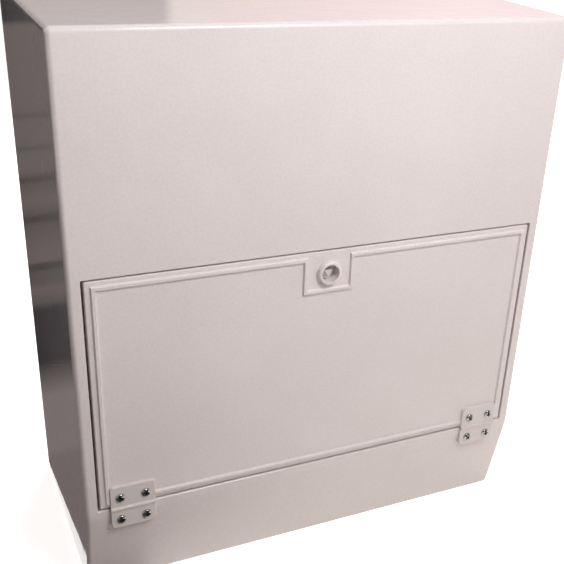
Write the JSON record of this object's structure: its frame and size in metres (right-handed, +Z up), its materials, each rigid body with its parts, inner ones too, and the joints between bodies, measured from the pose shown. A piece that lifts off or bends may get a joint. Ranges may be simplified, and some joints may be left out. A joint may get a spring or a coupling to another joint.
{
  "type": "gas meter box",
  "caption": "Wall-standing moulded box for a domestic gas meter, with a flush drop-down door on two surface hinges and a round key lock in the lower half of its front.",
  "frame": {"origin": "under the middle of the whole box, on the face that it stands on", "axes": "+X to the right seen from the front, +Y to the wall behind, +Z up"},
  "size_m": [0.52, 0.2542, 0.582],
  "materials": {
    "shell_grp": "off-white glass-reinforced moulding, satin front, glossy sides and roof",
    "door_grp": "off-white glass-reinforced moulding, satin",
    "panel_grp": "grey-white moulded sheet, fibres faintly visible",
    "hinge_plastic": "white moulded nylon",
    "lock_plastic": "white moulded nylon, slightly glossy",
    "lock_core": "white moulded nylon",
    "bush_plastic": "black moulded bush",
    "screw_steel": "bright stainless, turned",
    "zinc_steel": "zinc plated",
    "galvanised_sheet": "galvanised sheet"
  },
  "bodies": {
    "box": {"box_shell": "shell_grp", "back_panel": "panel_grp", "back_panel_screws": "zinc_steel", "outlet_bush": "bush_plastic", "meter_bracket": "galvanised_sheet", "bracket_bolts": "zinc_steel", "bracket_nuts": "zinc_steel", "hinge_left_box_leaf": "hinge_plastic", "hinge_left_pin": "zinc_steel", "hinge_right_box_leaf": "hinge_plastic", "hinge_right_pin": "zinc_steel", "hinge_box_screws": "screw_steel", "hinge_box_nuts": "zinc_steel"},
    "door": {"door_panel": "door_grp", "lock_barrel": "lock_plastic", "lock_nut": "lock_plastic", "hinge_left_door_leaf": "hinge_plastic", "hinge_right_door_leaf": "hinge_plastic", "hinge_door_screws": "screw_steel", "hinge_door_nuts": "zinc_steel"},
    "lock": {"lock_key_post": "lock_core", "lock_cam": "galvanised_sheet", "lock_cam_screw": "zinc_steel"}
  },
  "joints": [
    {"name": "door_hinge", "type": "hinge", "parent": "box", "child": "door", "pos_m": [0, -0.12385, 0.11175], "axis": [1, 0, 0], "range_deg": [0, 140]},
    {"name": "lock_turn", "type": "hinge", "parent": "door", "child": "lock", "pos_m": [0, -0.11, 0.3355], "axis": [0, 1, 0], "range_deg": [0, 90]}
  ]
}
